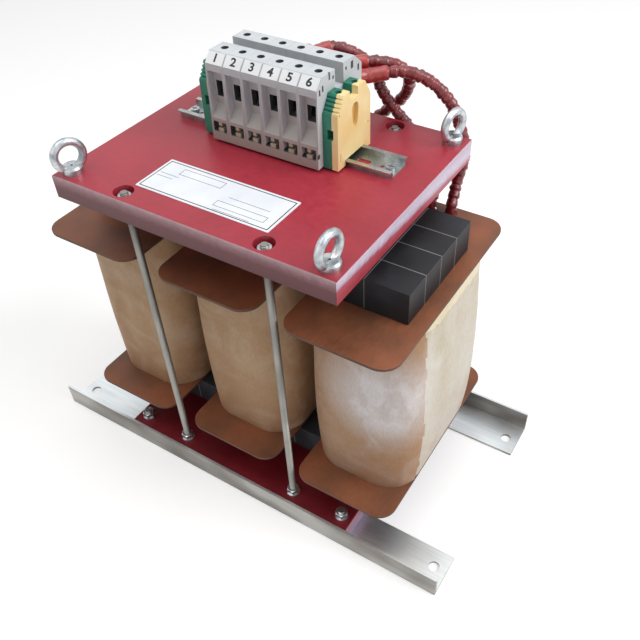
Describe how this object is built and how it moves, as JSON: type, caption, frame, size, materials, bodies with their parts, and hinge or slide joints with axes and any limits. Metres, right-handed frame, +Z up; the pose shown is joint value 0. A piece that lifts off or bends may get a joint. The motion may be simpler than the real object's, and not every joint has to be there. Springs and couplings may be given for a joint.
{
  "type": "differential mode inductor",
  "caption": "Filter inductor: wrapped coils on a block core between red plates on angle rails, with a terminal row, earth terminals, sleeved leads and lifting eyes.",
  "frame": {"origin": "centre of the four mounting holes, on the underside of the rails", "axes": "+X along the rails, -Y towards the nameplate and the terminals' wire side, +Z up"},
  "size_m": [0.55, 0.2886, 0.48],
  "materials": {
    "galvanised_steel": "zinc plated steel",
    "zinc_fasteners": "bright zinc plated steel",
    "red_laminate": "red glass-polyester laminate with a smooth face",
    "dark_laminate": "the same laminate in shade",
    "core_blocks": "dark grey pressed powder blocks",
    "resin": "pale bonding resin and gap board",
    "insulating_board": "brown varnished pressboard",
    "coil_wrap": "varnished aramid paper wrap",
    "winding_copper": "enamelled copper foil and wire",
    "red_sleeve": "red heat-shrink sleeve",
    "grey_housing": "light grey moulded polyamide",
    "marker_white": "white marker strip",
    "label_white": "white printed label",
    "earth_green": "green moulded polyamide",
    "earth_yellow": "yellow moulded polyamide",
    "clamp_steel": "zinc plated clamp parts"
  },
  "bodies": {
    "frame": {"front_rail": "galvanised_steel", "rear_rail": "galvanised_steel", "din_rail": "galvanised_steel", "tie_rods": "zinc_fasteners", "hex_nuts": "zinc_fasteners", "flat_washers": "zinc_fasteners", "rail_screws": "zinc_fasteners", "eye_bolts_front": "zinc_fasteners", "eye_bolts_rear": "zinc_fasteners", "din_rail_screws": "zinc_fasteners", "top_plate": "red_laminate", "base_plate": "dark_laminate", "support_bars": "dark_laminate", "upper_yoke": "core_blocks", "lower_yoke": "core_blocks", "core_legs": "core_blocks", "yoke_joints": "resin", "gap_spacers": "resin", "coil_cheeks": "insulating_board", "coil_formers": "insulating_board", "duct_sticks": "insulating_board", "coil_1_wrap": "coil_wrap", "coil_2_wrap": "coil_wrap", "coil_3_wrap": "coil_wrap", "windings": "winding_copper", "current_bars": "winding_copper", "coil_1_leads": "red_sleeve", "coil_2_leads": "red_sleeve", "coil_3_leads": "red_sleeve", "lead_sleeves": "red_sleeve", "terminal_1": "grey_housing", "terminal_2": "grey_housing", "terminal_3": "grey_housing", "terminal_4": "grey_housing", "terminal_5": "grey_housing", "terminal_6": "grey_housing", "terminal_markers": "marker_white", "nameplate": "label_white", "pe_left_body": "earth_green", "pe_right_body": "earth_green", "pe_covers": "earth_yellow", "rear_clamps": "clamp_steel", "pe_rear_clamps": "clamp_steel", "lead_ferrules": "clamp_steel"},
    "clamp_1_screw": {"clamp_screw_1": "clamp_steel"},
    "clamp_1_cage": {"clamp_cage_1": "clamp_steel"},
    "clamp_2_screw": {"clamp_screw_2": "clamp_steel"},
    "clamp_2_cage": {"clamp_cage_2": "clamp_steel"},
    "clamp_3_screw": {"clamp_screw_3": "clamp_steel"},
    "clamp_3_cage": {"clamp_cage_3": "clamp_steel"},
    "clamp_4_screw": {"clamp_screw_4": "clamp_steel"},
    "clamp_4_cage": {"clamp_cage_4": "clamp_steel"},
    "clamp_5_screw": {"clamp_screw_5": "clamp_steel"},
    "clamp_5_cage": {"clamp_cage_5": "clamp_steel"},
    "clamp_6_screw": {"clamp_screw_6": "clamp_steel"},
    "clamp_6_cage": {"clamp_cage_6": "clamp_steel"},
    "earth_left_screw": {"pe_left_screw": "clamp_steel"},
    "earth_left_cage": {"pe_left_cage": "clamp_steel"},
    "earth_right_screw": {"pe_right_screw": "clamp_steel"},
    "earth_right_cage": {"pe_right_cage": "clamp_steel"}
  },
  "joints": [
    {"name": "clamp_1_screw_turn", "type": "hinge", "parent": "frame", "child": "clamp_1_screw", "pos_m": [-0.0545, 0.0225, 0.4705], "axis": [0, 0, -1], "range_deg": [0, 2160]},
    {"name": "clamp_1_cage_lift", "type": "slide", "parent": "frame", "child": "clamp_1_cage", "axis": [0, 0, 1], "range_m": [0, 0.0075]},
    {"name": "clamp_2_screw_turn", "type": "hinge", "parent": "frame", "child": "clamp_2_screw", "pos_m": [-0.0335, 0.0225, 0.4705], "axis": [0, 0, -1], "range_deg": [0, 2160]},
    {"name": "clamp_2_cage_lift", "type": "slide", "parent": "frame", "child": "clamp_2_cage", "axis": [0, 0, 1], "range_m": [0, 0.0075]},
    {"name": "clamp_3_screw_turn", "type": "hinge", "parent": "frame", "child": "clamp_3_screw", "pos_m": [-0.0125, 0.0225, 0.4705], "axis": [0, 0, -1], "range_deg": [0, 2160]},
    {"name": "clamp_3_cage_lift", "type": "slide", "parent": "frame", "child": "clamp_3_cage", "axis": [0, 0, 1], "range_m": [0, 0.0075]},
    {"name": "clamp_4_screw_turn", "type": "hinge", "parent": "frame", "child": "clamp_4_screw", "pos_m": [0.0085, 0.0225, 0.4705], "axis": [0, 0, -1], "range_deg": [0, 2160]},
    {"name": "clamp_4_cage_lift", "type": "slide", "parent": "frame", "child": "clamp_4_cage", "axis": [0, 0, 1], "range_m": [0, 0.0075]},
    {"name": "clamp_5_screw_turn", "type": "hinge", "parent": "frame", "child": "clamp_5_screw", "pos_m": [0.0295, 0.0225, 0.4705], "axis": [0, 0, -1], "range_deg": [0, 2160]},
    {"name": "clamp_5_cage_lift", "type": "slide", "parent": "frame", "child": "clamp_5_cage", "axis": [0, 0, 1], "range_m": [0, 0.0075]},
    {"name": "clamp_6_screw_turn", "type": "hinge", "parent": "frame", "child": "clamp_6_screw", "pos_m": [0.0505, 0.0225, 0.4705], "axis": [0, 0, -1], "range_deg": [0, 2160]},
    {"name": "clamp_6_cage_lift", "type": "slide", "parent": "frame", "child": "clamp_6_cage", "axis": [0, 0, 1], "range_m": [0, 0.0075]},
    {"name": "earth_left_screw_turn", "type": "hinge", "parent": "frame", "child": "earth_left_screw", "pos_m": [-0.0734, 0.0246, 0.455], "axis": [0, 0, -1], "range_deg": [0, 2160]},
    {"name": "earth_left_cage_lift", "type": "slide", "parent": "frame", "child": "earth_left_cage", "axis": [0, 0, 1], "range_m": [0, 0.0048]},
    {"name": "earth_right_screw_turn", "type": "hinge", "parent": "frame", "child": "earth_right_screw", "pos_m": [0.0694, 0.0246, 0.455], "axis": [0, 0, -1], "range_deg": [0, 2160]},
    {"name": "earth_right_cage_lift", "type": "slide", "parent": "frame", "child": "earth_right_cage", "axis": [0, 0, 1], "range_m": [0, 0.0048]}
  ],
  "couplings": [
    {"joint": "clamp_1_screw_turn", "follows": "clamp_1_cage_lift", "rad_per_m": 5026.5},
    {"joint": "clamp_2_screw_turn", "follows": "clamp_2_cage_lift", "rad_per_m": 5026.5},
    {"joint": "clamp_3_screw_turn", "follows": "clamp_3_cage_lift", "rad_per_m": 5026.5},
    {"joint": "clamp_4_screw_turn", "follows": "clamp_4_cage_lift", "rad_per_m": 5026.5},
    {"joint": "clamp_5_screw_turn", "follows": "clamp_5_cage_lift", "rad_per_m": 5026.5},
    {"joint": "clamp_6_screw_turn", "follows": "clamp_6_cage_lift", "rad_per_m": 5026.5},
    {"joint": "earth_left_screw_turn", "follows": "earth_left_cage_lift", "rad_per_m": 7854},
    {"joint": "earth_right_screw_turn", "follows": "earth_right_cage_lift", "rad_per_m": 7854}
  ]
}
